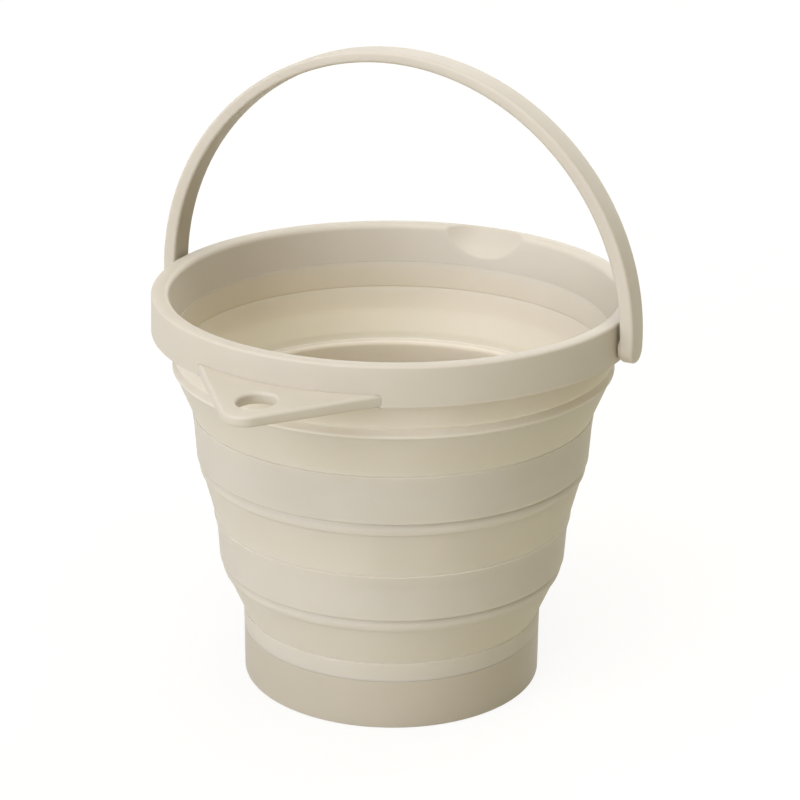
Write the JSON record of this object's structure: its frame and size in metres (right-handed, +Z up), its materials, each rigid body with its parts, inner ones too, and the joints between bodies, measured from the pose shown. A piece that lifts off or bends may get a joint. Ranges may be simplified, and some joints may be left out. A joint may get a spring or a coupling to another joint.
{
  "type": "collapsible bucket",
  "caption": "Round bucket with a stepped soft wall that folds flat, a stiff rim with a pouring spout and a triangular hanging tab, a flat base and an arched carrying handle.",
  "frame": {"origin": "centre of the flat underside of the base cup, on the bucket's axis", "axes": "+Z up along the bucket's axis, +X along the handle's pivot line, -Y towards the hanging tab, +Y towards the pouring spout"},
  "size_m": [0.334, 0.3636, 0.4184],
  "materials": {
    "hard_plastic": "satin moulded plastic, greige",
    "soft_wall": "matt soft moulded plastic, greige",
    "soft_fold": "matt soft moulded plastic, greige, thin"
  },
  "bodies": {
    "base": {"base_cup": "hard_plastic", "wall_foot_band": "soft_wall", "fold_lower": "soft_fold"},
    "tier_lower": {"wall_band_lower": "soft_wall", "fold_middle": "soft_fold"},
    "tier_upper": {"wall_band_upper": "soft_wall", "fold_upper": "soft_fold"},
    "rim": {"wall_collar": "soft_wall", "rim_frame": "hard_plastic"},
    "handle": {"handle": "hard_plastic"}
  },
  "joints": [
    {"name": "fold_down_lower", "type": "slide", "parent": "base", "child": "tier_lower", "axis": [0, 0, -1], "range_m": [0, 0.0686]},
    {"name": "fold_down_middle", "type": "slide", "parent": "tier_lower", "child": "tier_upper", "axis": [0, 0, -1], "range_m": [0, 0.0714]},
    {"name": "fold_down_upper", "type": "slide", "parent": "tier_upper", "child": "rim", "axis": [0, 0, -1], "range_m": [0, 0.0495]},
    {"name": "handle_swing", "type": "hinge", "parent": "rim", "child": "handle", "pos_m": [0, 0, 0.2492], "axis": [1, 0, 0], "range_deg": [-123, 87]}
  ]
}
